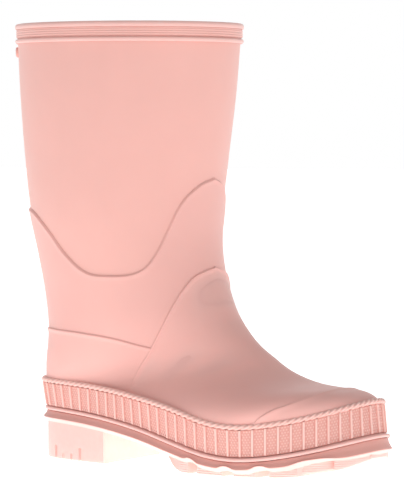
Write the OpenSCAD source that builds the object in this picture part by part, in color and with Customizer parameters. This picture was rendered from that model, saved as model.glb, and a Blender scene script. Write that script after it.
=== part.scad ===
// Child's rubber rain boot, right foot: rubber sheets over a knitted lining, ribbed foxing, cleated sole.
// +X runs to the toe, +Y to the inner side of the foot, +Z up. The origin is on the ground, mid-length.

/* [Size] */
// Length of the outsole from heel to toe
sole_length = 172; // [164:1:182]
// Height of the rim over the ground
boot_height = 194; // [180:1:210]
// Width of the sole across the ball
ball_width = 78.5; // [74:0.5:84]

/* [Rubber sheets] */
// Thickness of the leg sheet, the base rubber
sheet_t = 1.8; // [1.4:0.1:2.2]
// Thickness of the ankle panel laid over it
ankle_t = 0.7; // [0.4:0.1:1]
// Thickness of the heel panel and of the vamp
vamp_t = 0.9; // [0.6:0.1:1.2]
// Thickness of the toe cap
cap_t = 0.7; // [0.4:0.1:1]

/* [Lining and footbed] */
// Thickness of the knitted lining
lining_t = 1.0; // [0.6:0.1:1.2]
// Thickness of the heel and toe stiffeners
stiffener_t = 0.8; // [0.4:0.1:1]
// Thickness of the insole board
board_t = 1.2; // [0.8:0.1:1.5]
// Thickness of the footbed foam
foam_t = 3.2; // [2:0.2:4]
// Thickness of the footbed's textile cover
cover_t = 0.8; // [0.5:0.1:1]

/* [Foxing and sole] */
// Number of upright ribs round the foxing band
rib_count = 73; // [60:1:90]
// How far the ribs stand proud of the band
rib_proud = 0.5; // [0.3:0.1:0.8]
// Height of the outsole's flared flange
flange_h = 3.0; // [2.4:0.1:3.4]
// How much taller the flange is round the toe
toe_flange = 1.9; // [0:0.1:2]
// Half-width of a groove between tread lugs
tread_gap = 2.6; // [1.5:0.1:3.5]

/* [Collar] */
// Height of the bead round the rim
top_bead_h = 1.8; // [1.4:0.1:2.4]
// Height of the lined band under it
band_h = 3.9; // [3:0.1:5]

/* [Hidden] */

rubber_pink = [0.93, 0.68, 0.65];
panel_pink = [0.91, 0.65, 0.62];
foxing_pink = [0.95, 0.74, 0.71];
knit_white = [0.93, 0.91, 0.89];
bond = 0.08; // glue line between two bonded layers

// Sections of the last, from the rim to the toe tip. Each is a slice between a point on the back or
// bottom line and a point on the front or top line:
// back x, back z, front x, front z, outer half-width, inner half-width, centre y, widest place, lower
// roundness, upper roundness (1 is an ellipse, less is squarer)
last = [
    [-90.6, 194.0, 16.8, 193.4, 42.6, 42.6, 0, 0.50, 1.00, 1.00],
    [-89.4, 165.5, 14.4, 164.5, 41.2, 41.2, 0, 0.50, 1.00, 1.00],
    [-87.2, 137.0, 10.8, 137.0, 39.2, 39.2, 0, 0.50, 1.00, 1.00],
    [-84.4, 112.0, 7.8, 112.0, 36.9, 36.9, 0, 0.50, 1.00, 1.00],
    [-80.0, 93.0, 7.4, 96.0, 34.4, 34.4, 0, 0.49, 1.00, 1.00],
    [-75.8, 74.0, 10.9, 80.0, 31.8, 31.8, 0, 0.48, 0.95, 1.00],
    [-73.6, 56.0, 16.6, 67.4, 30.2, 30.2, 0, 0.45, 0.90, 1.00],
    [-74.8, 41.0, 24.3, 58.2, 27.6, 28.0, 0, 0.40, 0.82, 1.00],
    [-73.2, 31.0, 31.5, 52.0, 25.2, 25.4, 0, 0.36, 0.74, 1.00],
    [-62.0, 26.4, 38.5, 47.3, 25.4, 25.6, 0, 0.33, 0.60, 1.00],
    [-42.0, 25.0, 44.8, 42.6, 28.4, 27.4, 0, 0.31, 0.56, 0.95],
    [-18.0, 21.8, 51.4, 39.0, 33.2, 30.4, 0, 0.30, 0.52, 0.90],
    [8.0, 17.2, 58.0, 36.6, 36.8, 33.6, 0, 0.30, 0.48, 0.85],
    [30.0, 12.6, 65.0, 35.5, 36.9, 34.4, 0.5, 0.27, 0.42, 0.80],
    [52.0, 11.8, 72.0, 34.8, 31.5, 29.7, 2.5, 0.26, 0.36, 0.78],
    [67.0, 13.8, 78.8, 33.4, 23.8, 22.3, 5, 0.34, 0.44, 0.76],
    [76.5, 16.8, 84.0, 30.8, 15.4, 14.2, 7, 0.44, 0.55, 0.80],
    [82.4, 19.8, 86.2, 27.4, 8.2, 7.8, 8, 0.48, 0.80, 0.90],
    [85.2, 22.6, 86.6, 24.8, 1.6, 1.6, 8, 0.50, 1.00, 1.00]];
tip = len(last) - 1;
inner_tip = tip - 1; // where the inside of a sheet closes
toe_end = tip - 1.4; // where the vamp and toe cap tuck under

// Edges of the panels: angle round the section from the front, and place along the last
ankle_edge = [[0, 2.41], [15, 2.56], [28, 2.95], [40, 3.90], [50, 4.40], [60, 4.62], [75, 4.65], [90, 4.54],
    [104, 4.05], [115, 3.50], [128, 3.12], [145, 3.00], [180, 2.96]];
vamp_edge = [[0, 4.55], [14, 4.67], [25, 4.86], [39, 5.43], [55, 6.45], [68, 7.66], [76, 8.60], [84, 9.40],
    [100, 9.90], [120, 10.2]];
heel_edge = [[55, 7.25], [62, 7.00], [77, 6.50], [97, 6.15], [120, 5.97], [140, 5.88], [180, 5.85]];
cap_edge = [[0, 14.03], [17, 14.05], [32, 13.95], [47, 13.65], [56, 13.43], [67, 13.35], [77, 13.38],
    [100, 13.5]];
corner_phi = 63.5; // where the vamp, heel panel and ankle panel meet
vamp_phi = 112; // the vamp's lower edges, under the foxing

// Outline of the sole's flange, from the heel round the outer side
sole_outline = [[-78.2, 0], [-75.6, -12], [-67.2, -21], [-52, -26.2], [-30, -30], [-5, -35], [20, -39.5],
    [42, -40], [61, -34], [77, -22], [88, -7], [92.2, 8], [88, 21.5], [73, 33], [50, 38.5], [25, 37.5],
    [0, 33], [-25, 29.5], [-50, 27.2], [-67, 22], [-75.6, 12.5]];
// Height of the foxing's lower edge, the band's height and how far its top leans out, along x
foxing_base = [[-84, 23.3], [-60, 23.3], [-38, 22], [-10, 18.4], [12, 13.8], [30, 9.9], [44, 8.5], [56, 9],
    [68, 10.8], [80, 13.7], [94, 18.2]];
foxing_height = [[-84, 10.2], [-50, 10.4], [-10, 11.3], [12, 12.2], [40, 11.4], [70, 11.8], [94, 12.3]];
foxing_lean = [[-84, 1.6], [-60, 1.8], [-20, 1.8], [10, 1.6], [40, 0.8], [70, 0.1], [94, -1.4]];
foxing_inset = [[-84, 1.0], [94, 2.3]]; // rib face inside the flange's edge
foxing_t = 1.6;
rope_r = 1.15;
flange_drop = 2.2; // top of the flange under the foxing's lower edge
flare = 1.6; // how far the flange flares out towards its lower edge
breast_x = -31;

// Outer and inner edges of the footbed along x
footbed_edges = [[-65.4, -2, 3], [-64.2, -7.5, 8.5], [-61.5, -12.5, 13], [-56, -15.8, 16.4],
    [-46, -18, 18.2], [-30, -18.8, 18.2], [-12, -19.8, 18.6], [6, -22.8, 21], [24, -28, 25.6],
    [42, -28, 27.2], [54, -23.6, 25.2], [64, -16, 21.4], [71, -7, 16.6], [74.5, 2, 12]];
floor_h = 8.2; // underside of the footbed over the foxing's lower edge
bend_x = 12; // where the footbed bends
bend_gap = 0.5;

phi_steps = 36;
rim_start = 0.062; // place where the sheets end, under the rim's bead
leg_rows = [rim_start, for (v = [1 : 1 : 4]) v, for (v = [4.5 : 0.5 : 16.5]) v, 17, 17.5];
lining_rows = [rim_start, for (v = [1 : 1 : 5]) v, for (v = [5.75 : 0.75 : 16.25]) v, 16.7];
around = 80; // points round the sole's plain rings

// Scale of the drawn last to the sizes asked for
kx = sole_length / 172;
ky = ball_width / 78.5;
shaft_z = 60;
kz = (boot_height - shaft_z) / (194 - shaft_z);
function fit(p) = [p.x * kx, p.y * ky, p.z < shaft_z ? p.z : shaft_z + (p.z - shaft_z) * kz];

// Smooth curves: through rows by index, round a closed list, and through [x, value] pairs by x
function blend4(a, b, c, d, f) =
    0.5 * (2 * b + (c - a) * f + (2 * a - 5 * b + 4 * c - d) * f * f + (3 * b - 3 * c + d - a) * f * f * f);
function along(tab, v) = let(n = len(tab), i = min(max(floor(v), 0), n - 2))
    blend4(tab[max(i - 1, 0)], tab[i], tab[i + 1], tab[min(i + 2, n - 1)], v - i);
function round_list(tab, u) = let(n = len(tab), i = floor(u))
    blend4(tab[(i + n - 1) % n], tab[i % n], tab[(i + 1) % n], tab[(i + 2) % n], u - i);
function slope(tab, j) = let(a = tab[max(j - 1, 0)], b = tab[min(j + 1, len(tab) - 1)])
    (b[1] - a[1]) / (b[0] - a[0]);
function seg(tab, x) = max([for (i = [0 : len(tab) - 2]) tab[i][0] <= x ? i : 0]);
function curve(tab, x) = let(i = seg(tab, x), a = tab[i], b = tab[i + 1], h = b[0] - a[0],
        f = min(max((x - a[0]) / h, 0), 1))
    (2 * f * f * f - 3 * f * f + 1) * a[1] + (f * f * f - 2 * f * f + f) * h * slope(tab, i)
    + (3 * f * f - 2 * f * f * f) * b[1] + (f * f * f - f * f) * h * slope(tab, i + 1);
function step_up(x, a, b) = min(max((x - a) / (b - a), 0), 1);
function pow_abs(x, e) = pow(abs(x), e);

// A point of the last's surface at angle phi round the section and place v along it, and its outward normal
function skin(phi, v) = let(q = along(last, v), c = cos(phi), s = sin(phi), e = c >= 0 ? q[9] : q[8],
        t = c >= 0 ? q[7] + (1 - q[7]) * pow_abs(c, e) : q[7] - q[7] * pow_abs(c, e),
        w = s < 0 ? q[4] : q[5])
    [q[0] + (q[2] - q[0]) * t, q[6] + sign(s) * pow_abs(s, e) * w, q[1] + (q[3] - q[1]) * t];
function skin_normal(phi, v) = let(h = 0.12, k = 0.002, va = max(v - k, 0), vb = min(v + k, tip - 0.02),
        n = cross(skin(phi, vb) - skin(phi, va), skin(phi + h, v) - skin(phi - h, v))) n / norm(n);
function over(phi, v, d) = fit(skin(phi, v) + d * skin_normal(phi, v));

// A point beside the sole's outline: d outwards, at height z over the foxing's lower edge
function outline_at(u) = round_list(sole_outline, u);
function outline_n(u) = let(t = outline_at(u + 0.002) - outline_at(u + len(sole_outline) - 0.002))
    [t.y, -t.x] / norm(t);
function beside(u, d, z) = let(p = outline_at(u), q = p + d * outline_n(u))
    fit([q.x, q.y, curve(foxing_base, p.x) + z]);
// The same on the foxing: h from 0 at its lower edge to 1 at its upper edge
function on_foxing(u, d, h) = let(x = outline_at(u).x)
    beside(u, d - curve(foxing_inset, x) + curve(foxing_lean, x) * h, h * curve(foxing_height, x));

// Faces between point a and its neighbours; every quad is two triangles
function quad(a, b, c, d) = [[a, b, c], [a, c, d]];
// An open sheet: a grid of outer points, then the same grid of inner points, rows along the last
module sheet(outer, inner) {
    rows = len(outer);
    cols = len(outer[0]);
    half = rows * cols;
    points = [for (g = [outer, inner]) for (row = g) for (p = row) p];
    faces = [
        for (j = [0 : rows - 2]) for (i = [0 : cols - 2]) let(a = j * cols + i, d = a + cols)
            each concat(quad(a, a + 1, d + 1, d), quad(half + a, half + d, half + d + 1, half + a + 1)),
        for (i = [0 : cols - 2]) let(d = half - cols + i)
            each concat(quad(i + 1, i, half + i, half + i + 1), quad(d, d + 1, half + d + 1, half + d)),
        for (j = [0 : rows - 2]) let(a = j * cols, c = a + 2 * cols - 1)
            each concat(quad(a, a + cols, half + a + cols, half + a),
                quad(c, c - cols, half + c - cols, half + c))];
    polyhedron(points, faces);
}
// A sock: closed rings from the mouth to a point at the toe, outside and inside
module sock(outer, inner) {
    n = len(outer[0]);
    mo = len(outer);
    mi = len(inner);
    base = mo * n;
    end = base + mi * n;
    outer_end = mean(outer[mo - 1]);
    inner_end = mean(inner[mi - 1]);
    points = [for (g = [outer, inner]) for (row = g) for (p = row) p, outer_end, inner_end];
    faces = [
        for (j = [0 : mo - 2]) for (i = [0 : n - 1]) let(k = (i + 1) % n, a = j * n)
            each quad(a + i, a + k, a + n + k, a + n + i),
        for (j = [0 : mi - 2]) for (i = [0 : n - 1]) let(k = (i + 1) % n, a = base + j * n)
            each quad(a + i, a + n + i, a + n + k, a + k),
        for (i = [0 : n - 1]) let(k = (i + 1) % n)
            each concat(quad(k, i, base + i, base + k), [[base - n + i, base - n + k, end],
                [end - n + k, end - n + i, end + 1]])];
    polyhedron(points, faces);
}
function mean(list) = ([for (p = list) 1] * list) / len(list);
// A closed hoop: the same small section all the way round, each listed anticlockwise from outside
module hoop(rings) {
    n = len(rings);
    m = len(rings[0]);
    faces = [for (i = [0 : n - 1]) for (j = [0 : m - 1]) let(k = ((i + 1) % n) * m, l = (j + 1) % m)
        each quad(i * m + j, k + j, k + l, i * m + l)];
    polyhedron([for (r = rings) for (p = r) p], faces);
}
// A plate: a ring of top points and a ring of bottom points, each crossed from one side to the other
module plate(top, bottom) {
    n = len(top);
    half = floor(n / 2);
    cross_faces = [for (i = [0 : half - 1]) let(j = (n - i) % n) each concat(
        i == 0 ? [] : [[i, j, i + 1]],
        i == half - 1 ? [] : [[i + 1, j, n - i - 1]])];
    under = [for (f = cross_faces) [f[2] + n, f[1] + n, f[0] + n]];
    sides = [for (i = [0 : n - 1]) let(k = (i + 1) % n) each quad(i, k, n + k, n + i)];
    polyhedron(concat(top, bottom), concat(cross_faces, under, sides));
}

function phi_at(i) = 360 * i / phi_steps;
function ring_rows(rows, d) = [for (v = rows) [for (i = [0 : phi_steps - 1]) over(phi_at(i), v, d)]];
// Grid of a panel between two edges, each a list of [angle, place] over the angle from the front
function span(phis, rows, from, to, d) = [for (j = [0 : rows]) [for (p = phis)
    let(a = from(p), b = to(p)) over(p, a + (b - a) * j / rows, d)]];
function folded(p) = let(q = ((p % 360) + 360) % 360) q > 180 ? 360 - q : q;
function patch_at(phis, v0, v1, rows, d) = span(phis, rows, function(p) v0, function(p) v1, d);

// How much thicker the layers under the lining are: board below, stiffeners at heel and toe
function under_lining(phi, v) = let(p = folded(phi),
        board = (board_t + bond) * step_up(p, 100, 114) * step_up(v, 8.8, 9.4),
        heel = (stiffener_t + bond) * step_up(p, 108, 122) * step_up(v, 5, 5.6) * (1 - step_up(v, 8.7, 9.3)),
        toe = (stiffener_t + bond) * (1 - step_up(p, 72, 86)) * step_up(v, 12.8, 13.5))
    max(board, heel, toe);

module leg_sheet() {
    inner_rows = [for (v = leg_rows) if (v <= inner_tip) v];
    color(rubber_pink) sock(ring_rows(leg_rows, 0), ring_rows(inner_rows, -sheet_t));
}
module knit_lining() {
    start = sheet_t + 1.5 * bond;
    function rings(extra) = [for (v = lining_rows) [for (i = [0 : phi_steps - 1])
        over(phi_at(i), v, -start - extra - under_lining(phi_at(i), v))]];
    color(knit_white) sock(rings(0), rings(lining_t));
}

module panel(phis, rows, from, to, low, high) {
    color(panel_pink) sheet(span(phis, rows, from, to, high), span(phis, rows, from, to, low));
}
module ankle_panel() {
    // all the way round: from its upper edge down to the vamp in front and the heel panel behind
    gap = 0.06;
    to = function(p) let(q = folded(p)) (q < corner_phi ? curve(vamp_edge, q) : curve(heel_edge, q)) - gap;
    from = function(p) curve(ankle_edge, folded(p));
    phis = [for (i = [0 : phi_steps]) phi_at(i)];
    color(panel_pink) band(span(phis, 5, from, to, bond + ankle_t), span(phis, 5, from, to, bond));
}
// A sheet that closes on itself: the last column of points is the first again
module band(outer, inner) {
    rows = len(outer);
    n = len(outer[0]) - 1;
    rings = [for (i = [0 : n - 1])
        [for (j = [0 : rows - 1]) outer[j][i], for (j = [rows - 1 : -1 : 0]) inner[j][i]]];
    hoop(rings);
}
module heel_panel() {
    to = function(p) let(q = folded(p)) min(curve(vamp_edge, q) - 0.06, 9.9 - 1.4 * step_up(q, 110, 180));
    from = function(p) curve(heel_edge, folded(p));
    phis = [corner_phi + 1.5, 68, for (p = [74 : 9.64 : 287]) p, 292, 358.5 - corner_phi];
    panel(phis, 6, from, to, bond, bond + vamp_t);
}
module vamp() {
    from = function(p) curve(vamp_edge, folded(p));
    phis = [for (i = [-14 : 14]) vamp_phi * i / 14];
    panel(phis, 14, from, function(p) toe_end, bond, bond + vamp_t);
}
module toe_cap() {
    low = bond + vamp_t + bond;
    phis = [for (i = [-11 : 11]) 88 * i / 11];
    panel(phis, 6, function(p) curve(cap_edge, folded(p)), function(p) toe_end, low, low + cap_t);
}
module heel_stiffener() {
    phis = [for (p = [124 : 8 : 236]) p];
    top = -sheet_t - bond;
    low = top - stiffener_t;
    color(knit_white) sheet(patch_at(phis, 5.7, 8.6, 5, top), patch_at(phis, 5.7, 8.6, 5, low));
}
module toe_stiffener() {
    phis = [for (p = [-70 : 10 : 70]) p];
    top = -sheet_t - bond;
    low = top - stiffener_t;
    color(knit_white) sheet(patch_at(phis, 13.6, 16.4, 6, top), patch_at(phis, 13.6, 16.4, 6, low));
}
module insole_board() {
    phis = [for (p = [116 : 8 : 244]) p];
    top = -sheet_t - bond;
    color("tan") sheet(patch_at(phis, 9.5, 16.2, 10, top), patch_at(phis, 9.5, 16.2, 10, top - board_t));
}

// Collar: hoops that follow the rim; section points are [outwards, down from the rim]
function rim_hoop(section) = [for (i = [0 : 47]) let(phi = 360 * i / 48, p = over(phi, 0, 0),
        n = let(m = skin_normal(phi, 0.02)) [m.x, m.y, 0] / norm([m.x, m.y]))
    [for (q = section) p + q[0] * n - [0, 0, q[1]]]];
module top_bead() {
    in = -sheet_t - lining_t - 0.2;
    color(foxing_pink) hoop(rim_hoop([[0.7, top_bead_h], [1.0, top_bead_h * 0.5], [0.7, 0], [0, -0.35],
        [in + 0.3, -0.3], [in, 0.1], [in + 0.2, 0.6], [bond, 0.6], [bond, top_bead_h]]));
}
module collar_band() {
    top = top_bead_h + bond;
    low = top + band_h;
    color(rubber_pink) hoop(rim_hoop([[0.3, low], [0.5, low - 0.3], [0.5, low - band_h / 2],
        [0.5, top + 0.3], [0.3, top], [bond, top], [bond, low]]));
}
module lower_bead() {
    top = top_bead_h + band_h + 0.7;
    color(foxing_pink) hoop(rim_hoop([[0.3, top + 1.6], [0.75, top + 1.2], [0.9, top + 0.8],
        [0.75, top + 0.4], [0.3, top], [bond, top], [bond, top + 1.6]]));
}
module back_stud() {
    // low button on the outer side of the back
    stud_phi = 206;
    stud_place = 0.485;
    stud_r = 2.8;
    p = over(stud_phi, stud_place, bond);
    n = skin_normal(stud_phi, stud_place);
    color(rubber_pink) translate(p) rotate([0, acos(n.z), atan2(n.y, n.x)]) union() {
        translate([0, 0, -0.1]) cylinder(r = stud_r, h = 1.0, $fn = 36);
        translate([0, 0, 0.9]) cylinder(r = stud_r - 0.8, h = 0.9, $fn = 36);
    }
}

// Foxing and sole
function ring_u(i, n) = len(sole_outline) * i / n;
module rope_welt() {
    // a bead lying on the foxing's upper edge
    color(foxing_pink) hoop([for (i = [0 : around - 1]) let(u = ring_u(i, around))
        [for (k = [0 : 5]) let(a = -60 * k, q = on_foxing(u, -0.9 + rope_r * cos(a), 1))
            q + [0, 0, rope_r * (1.05 + sin(a))]]]);
}
module foxing_band() {
    rib_w = 0.3; // a rib's share of its pitch
    slope_w = 0.08; // its sloping sides' share
    stops = [0, slope_w, rib_w, rib_w + slope_w];
    proud = [0, 1, 1, 0];
    back = -foxing_t;
    color(foxing_pink) hoop([for (i = [0 : rib_count - 1]) for (k = [0 : 3])
        let(u = ring_u(i + stops[k], rib_count), d = -rib_proud * (1 - proud[k]))
        [on_foxing(u, d, 1), on_foxing(u, d, 0), on_foxing(u, back, 0), on_foxing(u, back, 1)]]);
}
function flange_at(x) = flange_h + toe_flange * step_up(x, 60, 82);
module sole_edge_bead() {
    color(foxing_pink) hoop([for (i = [0 : around - 1]) let(u = ring_u(i, around), e = -flare - 0.5)
        [beside(u, e, -0.1), beside(u, e + 0.7, -0.6), beside(u, e + 0.7, -1.5), beside(u, e, -2.1),
            beside(u, e - 2.5, -2.1), beside(u, e - 2.5, -0.1)]]);
}
function sole_ring(d, z) = [for (i = [0 : around - 1]) beside(ring_u(i, around), d, z)];
module outsole() {
    low = [for (i = [0 : around - 1]) let(u = ring_u(i, around))
        beside(u, 0, -flange_drop - flange_at(outline_at(u).x))];
    color(foxing_pink) plate(sole_ring(-flare, -flange_drop), low);
}
module midsole_filler() {
    color("wheat") plate(sole_ring(-4.9, 1.2), sole_ring(-4.9, -flange_drop + bond));
}
function under_sole(x) = curve(foxing_base, x) - flange_drop - flange_at(x);
module sole_block(d, profile) {
    // the sole's outline pulled in by d, cut to a side profile of [x, z] points
    intersection() {
        linear_extrude(height = 30) polygon([for (i = [0 : around - 1])
            let(p = beside(ring_u(i, around), -d, 0)) [p.x, p.y]]);
        translate([0, 60, 0]) rotate([90, 0, 0]) linear_extrude(height = 120) polygon(profile);
    }
}
function heel_profile(top, bottom, back, front) = concat([[back * kx, bottom], [front * kx, bottom]],
    [for (x = [front : -8 : back - 1]) [max(x, back) * kx, under_sole(x) - top]]);
module heel_block() {
    grooves = [[-61.5, 6], [-56.4, 3], [-50.7, 3], [-45, 6]]; // place and height of each pair of side grooves
    color(foxing_pink) difference() {
        sole_block(1.6, heel_profile(bond, 0, -90, breast_x));
        translate([0, 0, 4]) sole_block(6.5, heel_profile(3.95, 0, -90, breast_x - 5));
        for (g = grooves) for (side = [-1, 1]) translate([g[0] * kx, side * 28 * ky, g[1] / 2])
            cube([1.8, 11, g[1]], center = true);
    }
}
module heel_core() {
    color("wheat") translate([0, 0, 4 + bond])
        sole_block(6.7, heel_profile(4 + 2 * bond, 0, -90, breast_x - 5.2));
}
module forefoot_tread() {
    tread_low = [[8, 8.8], [14, 2.2], [20, 0], [62, 0], [74, 1.2], [84, 3.8], [91, 7.8]];
    // place and width in gaps of each channel; they skew to the toe inside
    grooves = [[30.2, 1], [48.2, 1], [62.2, 1], [77.4, 2]];
    profile = concat([for (p = tread_low) [p[0] * kx, p[1]]],
        [for (x = [91 : -6.5 : 0]) [x * kx, under_sole(x) - bond]]);
    color(foxing_pink) difference() {
        sole_block(1.8, profile);
        for (g = grooves) translate([g[0] * kx, 0, 0]) rotate([0, 0, -8])
            cube([2 * tread_gap * g[1], 120, 2 * under_sole(g[0]) + 8], center = true);
    }
}

// Footbed: plates of foam and cover between two places along x
module footbed_plate(x0, x1, z0, z1) {
    inside = [for (e = footbed_edges) if (e[0] > x0 + 1 && e[0] < x1 - 1) e[0]];
    xs = concat([x0], inside, [x1]);
    outer_y = [for (e = footbed_edges) [e[0], e[1]]];
    inner_y = [for (e = footbed_edges) [e[0], e[2]]];
    function corner(x, y, z) = fit([x, y, curve(foxing_base, x) + floor_h + z]);
    grid = function(z) [for (x = xs) [corner(x, curve(inner_y, x), z), corner(x, curve(outer_y, x), z)]];
    sheet(grid(z1), grid(z0));
}
heel_end = footbed_edges[0][0];
toe_tip = footbed_edges[len(footbed_edges) - 1][0];
module footbed_foam_front() {
    color("gainsboro") footbed_plate(bend_x + bend_gap, toe_tip, 0, foam_t);
}
module footbed_cover_front() {
    color(knit_white) footbed_plate(bend_x + bend_gap, toe_tip, foam_t + bond, foam_t + cover_t);
}
module footbed_foam_heel() {
    color("gainsboro") footbed_plate(heel_end, bend_x - bend_gap, 0, foam_t);
}
module footbed_cover_heel() {
    color(knit_white) footbed_plate(heel_end, bend_x - bend_gap, foam_t + bond, foam_t + cover_t);
}

leg_sheet();
ankle_panel();
heel_panel();
vamp();
toe_cap();
collar_band();
top_bead();
lower_bead();
back_stud();
rope_welt();
foxing_band();
sole_edge_bead();
outsole();
forefoot_tread();
heel_block();
heel_core();
midsole_filler();
insole_board();
heel_stiffener();
toe_stiffener();
knit_lining();
footbed_foam_front();
footbed_cover_front();
footbed_foam_heel();
footbed_cover_heel();
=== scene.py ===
# Child's rubber rain boot, right foot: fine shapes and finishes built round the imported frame.
# +X is the toe, -Y the outer side, +Z up. Shapes are worked out in millimetres and written in metres.
import math
import bpy
import numpy as np
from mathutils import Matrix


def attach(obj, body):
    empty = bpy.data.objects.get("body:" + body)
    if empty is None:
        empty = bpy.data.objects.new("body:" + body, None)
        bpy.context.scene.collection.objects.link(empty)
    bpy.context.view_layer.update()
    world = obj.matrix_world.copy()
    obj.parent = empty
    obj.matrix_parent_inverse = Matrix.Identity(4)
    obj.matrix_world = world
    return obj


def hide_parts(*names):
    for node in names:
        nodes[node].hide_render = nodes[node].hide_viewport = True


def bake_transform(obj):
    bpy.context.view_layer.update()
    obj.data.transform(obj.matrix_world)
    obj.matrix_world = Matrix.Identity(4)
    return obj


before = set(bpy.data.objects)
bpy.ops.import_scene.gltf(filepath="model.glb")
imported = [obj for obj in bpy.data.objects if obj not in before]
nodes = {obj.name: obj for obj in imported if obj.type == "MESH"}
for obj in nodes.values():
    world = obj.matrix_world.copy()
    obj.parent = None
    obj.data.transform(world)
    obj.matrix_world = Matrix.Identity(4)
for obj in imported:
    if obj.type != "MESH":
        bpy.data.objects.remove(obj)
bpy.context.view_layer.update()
mm = 0.001

bpy.context.scene.view_settings.view_transform = "Standard"
bpy.context.scene.view_settings.look = "None"

# Node helpers


def setSockets(node, values):
    for socket, value in values.items():
        node.inputs[socket].default_value = value


def addNode(tree, kind, feeds, values=None, **settings):
    # feeds are wired to the sockets, values set on them, settings set on the node itself
    node = tree.nodes.new("ShaderNode" + kind)
    for name, value in settings.items():
        setattr(node, name, value)
    setSockets(node, values or {})
    for socket, source in feeds.items():
        tree.links.new(source, node.inputs[socket])
    return node


def addPlace(tree, kind="Object"):
    return addNode(tree, "TexCoord", {}).outputs[kind]


def addNoise(tree, scale, detail, roughness):
    values = {"Scale": scale, "Detail": detail, "Roughness": roughness}
    return addNode(tree, "TexNoise", {"Vector": addPlace(tree)}, values).outputs["Fac"]


def addRamp(tree, fac, low, high, colorLow, colorHigh):
    ramp = addNode(tree, "ValToRGB", {"Fac": fac})
    first, last = ramp.color_ramp.elements
    first.position = low
    first.color = (*colorLow, 1)
    last.position = high
    last.color = (*colorHigh, 1)
    return ramp.outputs["Color"]


def addRange(tree, fac, low, high, start=0.25, end=0.75):
    values = {"From Min": start, "From Max": end, "To Min": low, "To Max": high}
    return addNode(tree, "MapRange", {"Value": fac}, values).outputs["Result"]


def addBump(tree, height, strength, distance, under=None):
    feeds = {"Height": height}
    if under is not None:
        feeds["Normal"] = under
    return addNode(tree, "Bump", feeds, {"Strength": strength, "Distance": distance}).outputs["Normal"]


def addMath(tree, operation, *feeds):
    return addNode(tree, "Math", dict(enumerate(feeds)), operation=operation).outputs[0]


def addMix(tree, blend, below, above):
    feeds = {"A": below, "B": above}
    return addNode(tree, "Mix", feeds, {"Factor": 1.0}, data_type="RGBA", blend_type=blend).outputs["Result"]


def newFinish(name, color, roughness, specular, sheen=0.0):
    finish = bpy.data.materials.new(name)
    finish.use_nodes = True
    shader = finish.node_tree.nodes["Principled BSDF"]
    setSockets(shader, {"Base Color": (*color, 1), "Roughness": roughness, "Specular IOR Level": specular,
                        "Sheen Weight": sheen})
    return finish, finish.node_tree, shader


def shade(color, factor):
    return tuple(min(c * factor, 1.0) for c in color)


# Camera and stage

cameraSet = {
    "place": (741.8, -1048.5, 141.0),
    "target": (4.6, -2.1, 94.2),
    "lens": 210.1,
    "sensor": 36,
}


def makeCamera():
    data = bpy.data.cameras.new("camera")
    camera = bpy.data.objects.new("camera", data)
    bpy.context.scene.collection.objects.link(camera)
    place = np.array(cameraSet["place"]) * mm
    look = np.array(cameraSet["target"]) * mm - place
    camera.location = place
    turn = math.atan2(-look[0], look[1])
    tilt = math.atan2(look[2], math.hypot(look[0], look[1]))
    camera.rotation_euler = (math.pi / 2 + tilt, 0, turn)
    data.lens = cameraSet["lens"]
    data.sensor_width = cameraSet["sensor"]
    data.clip_start = 0.01
    data.clip_end = 100
    bpy.context.scene.camera = camera


lightSet = {
    "horizon": 1.0,         # strength of the room at eye level
    "ceiling": 0.43,        # and overhead
    "fade": (0.13, 0.40),   # how steeply up one starts and ends to turn into the other
    "aim": (0.0, 0.0, 0.08),
    # name, place in metres, size, power in watts
    "boxes": [
        ("lowLeft", (-0.24, -0.38, 0.03), 0.24, 0.05),
        ("lowRight", (0.40, -0.10, 0.03), 0.22, 0.02),
        ("boxRight", (1.30, -0.35, 0.20), 0.8, 0.8),
        ("boxBack", (-0.60, 0.75, 0.60), 0.6, 1.3),
    ],
}


def makeLights():
    world = bpy.data.worlds.new("room")
    bpy.context.scene.world = world
    world.use_nodes = True
    tree = world.node_tree
    split = addNode(tree, "SeparateXYZ", {"Vector": addPlace(tree, "Generated")})
    horizon = [lightSet["horizon"]] * 3
    ceiling = [lightSet["ceiling"]] * 3
    tint = addRamp(tree, split.outputs["Z"], *lightSet["fade"], horizon, ceiling)
    tree.links.new(tint, tree.nodes["Background"].inputs["Color"])
    tree.nodes["Background"].inputs["Strength"].default_value = 1.0
    for name, place, size, power in lightSet["boxes"]:
        data = bpy.data.lights.new(name, "AREA")
        data.shape = "SQUARE"
        data.size = size
        data.energy = power
        lamp = bpy.data.objects.new(name, data)
        bpy.context.scene.collection.objects.link(lamp)
        lamp.location = place
        aim = np.array(lightSet["aim"]) - np.array(place)
        fall = math.atan2(math.hypot(aim[0], aim[1]), -aim[2])
        lamp.rotation_euler = (fall, 0, math.atan2(-aim[0], aim[1]))


floorSet = {
    "size": 24,
    "drop": 0.0002,      # under the boot's foot, in metres
    "color": (0.92, 0.91, 0.91),
    "glow": 0.70,        # far from the boot
    "tableGlow": 1.60,   # right under it, as on a light table
    "tableScale": 2.2,   # one over the lit patch's radius in metres
}


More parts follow.
